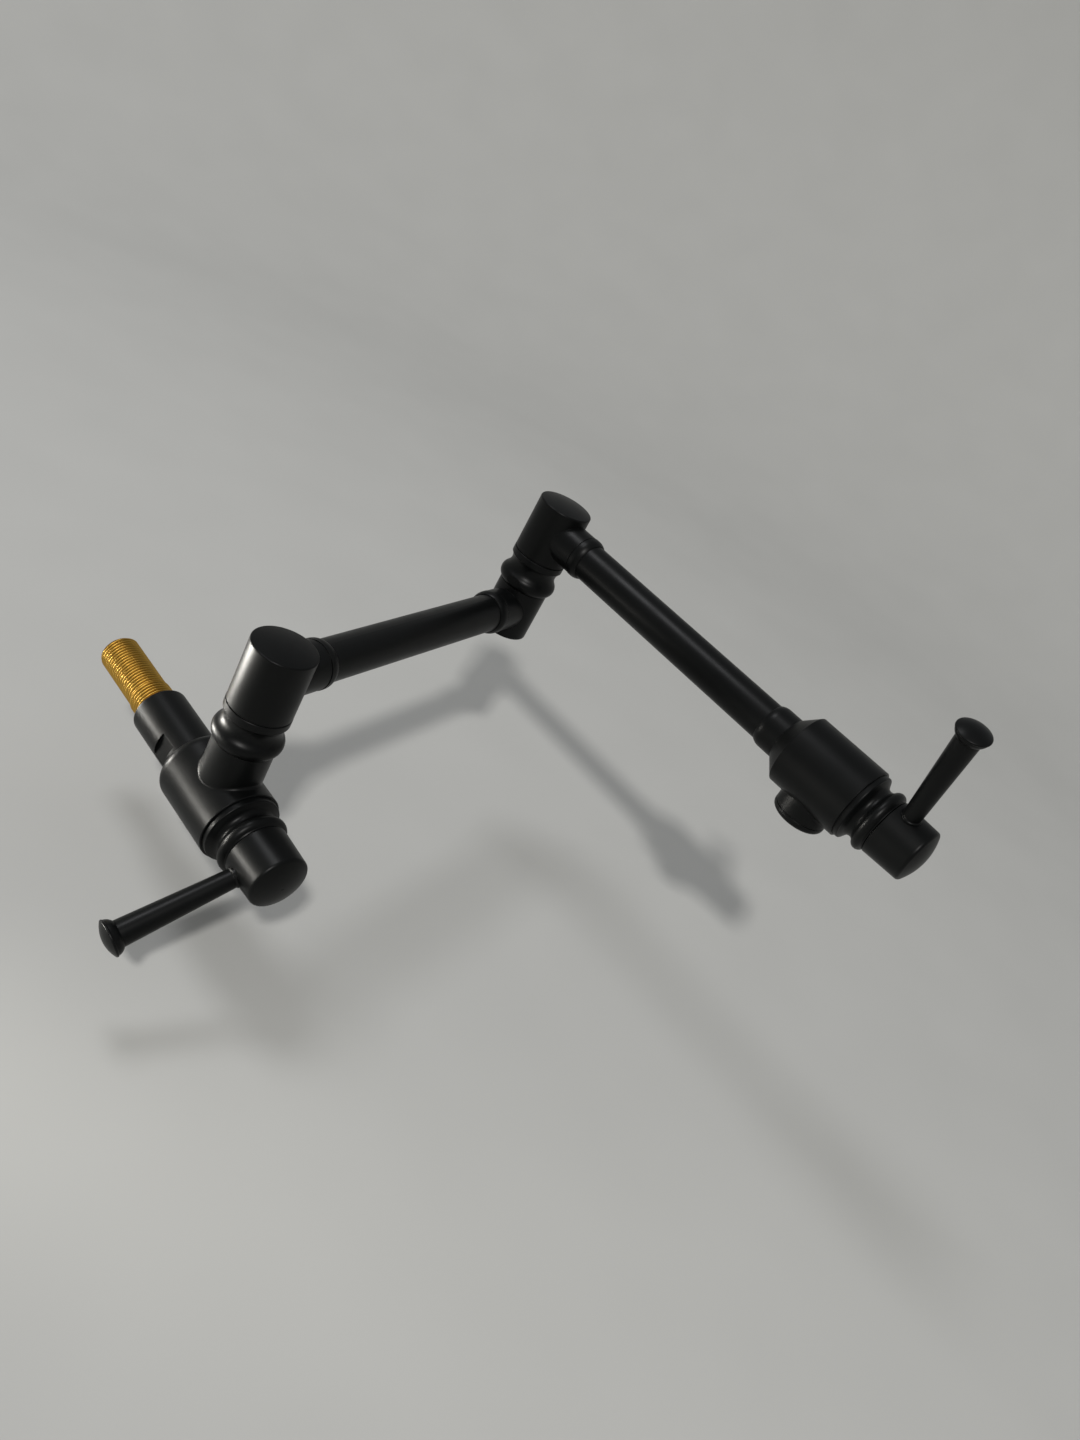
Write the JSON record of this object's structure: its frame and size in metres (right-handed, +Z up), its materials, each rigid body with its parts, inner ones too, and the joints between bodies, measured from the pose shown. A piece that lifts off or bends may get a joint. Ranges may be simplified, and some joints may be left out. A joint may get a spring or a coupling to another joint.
{
  "type": "wall mounted pot filler",
  "caption": "Wall mounted pot filler tap: a threaded inlet and lever valve carry two swivelling arms, one above the other, with a second lever valve and an aerated outlet at the end.",
  "frame": {"origin": "on the inlet's axis at the wall's face, where the full inlet thread starts", "axes": "+Y along the inlet into the wall, +Z up along both swivels, +X to the right of someone who faces the wall"},
  "size_m": [0.3126, 0.3416, 0.2458],
  "materials": {
    "black_coat": "satin",
    "inlet_brass": "satin",
    "inner_brass": "satin",
    "seal_rubber": "matte",
    "disc_ceramic": "satin",
    "washer_plastic": "matte",
    "aerator_plastic": "matte",
    "spring_steel": "satin"
  },
  "bodies": {
    "root": {"inlet_nipple": "inlet_brass", "inlet_adaptor": "black_coat", "adaptor_o_ring": "seal_rubber", "main_valve_body": "black_coat", "main_bonnet": "black_coat", "main_cartridge_housing": "inner_brass", "main_cartridge_seal": "seal_rubber", "main_fixed_disc": "disc_ceramic", "main_cartridge_nut": "inner_brass", "lower_union": "black_coat", "lower_union_seal": "seal_rubber", "lower_spigot_o_rings": "seal_rubber", "lower_thrust_washer": "washer_plastic", "lower_retaining_ring": "spring_steel"},
    "main_handle": {"main_handle_hub": "black_coat", "main_lever": "black_coat", "main_cartridge_stem": "inner_brass", "main_moving_disc": "disc_ceramic", "main_stem_o_ring": "seal_rubber"},
    "arm_1": {"arm_1_head": "black_coat", "arm_1_tube": "black_coat", "arm_1_end": "black_coat", "upper_union": "black_coat", "upper_union_seal": "seal_rubber", "upper_spigot_o_rings": "seal_rubber", "upper_thrust_washer": "washer_plastic", "upper_retaining_ring": "spring_steel"},
    "arm_2": {"arm_2_head": "black_coat", "arm_2_tube": "black_coat", "outlet_valve_body": "black_coat", "outlet_bonnet": "black_coat", "outlet_cartridge_housing": "inner_brass", "outlet_cartridge_seal": "seal_rubber", "outlet_fixed_disc": "disc_ceramic", "outlet_cartridge_nut": "inner_brass", "aerator_housing": "black_coat", "aerator_insert": "aerator_plastic", "aerator_washer": "seal_rubber"},
    "outlet_handle": {"outlet_handle_hub": "black_coat", "outlet_lever": "black_coat", "outlet_cartridge_stem": "inner_brass", "outlet_moving_disc": "disc_ceramic", "outlet_stem_o_ring": "seal_rubber"}
  },
  "joints": [
    {"name": "main_handle_turn", "type": "hinge", "parent": "root", "child": "main_handle", "pos_m": [0, -0.1208, 0], "axis": [0, -1, 0], "range_deg": [0, 90]},
    {"name": "arm_1_swing", "type": "hinge", "parent": "root", "child": "arm_1", "pos_m": [0, -0.0775, 0.0594], "axis": [0, 0, 1], "range_deg": [-209.2, 0]},
    {"name": "arm_2_swing", "type": "hinge", "parent": "arm_1", "child": "arm_2", "pos_m": [0.20767, -0.02341, 0.1139], "axis": [0, 0, 1], "continuous": true},
    {"name": "outlet_handle_turn", "type": "hinge", "parent": "arm_2", "child": "outlet_handle", "pos_m": [0.22051, -0.28599, 0.131], "axis": [0.0488, -0.9988, 0], "range_deg": [0, 90]}
  ]
}
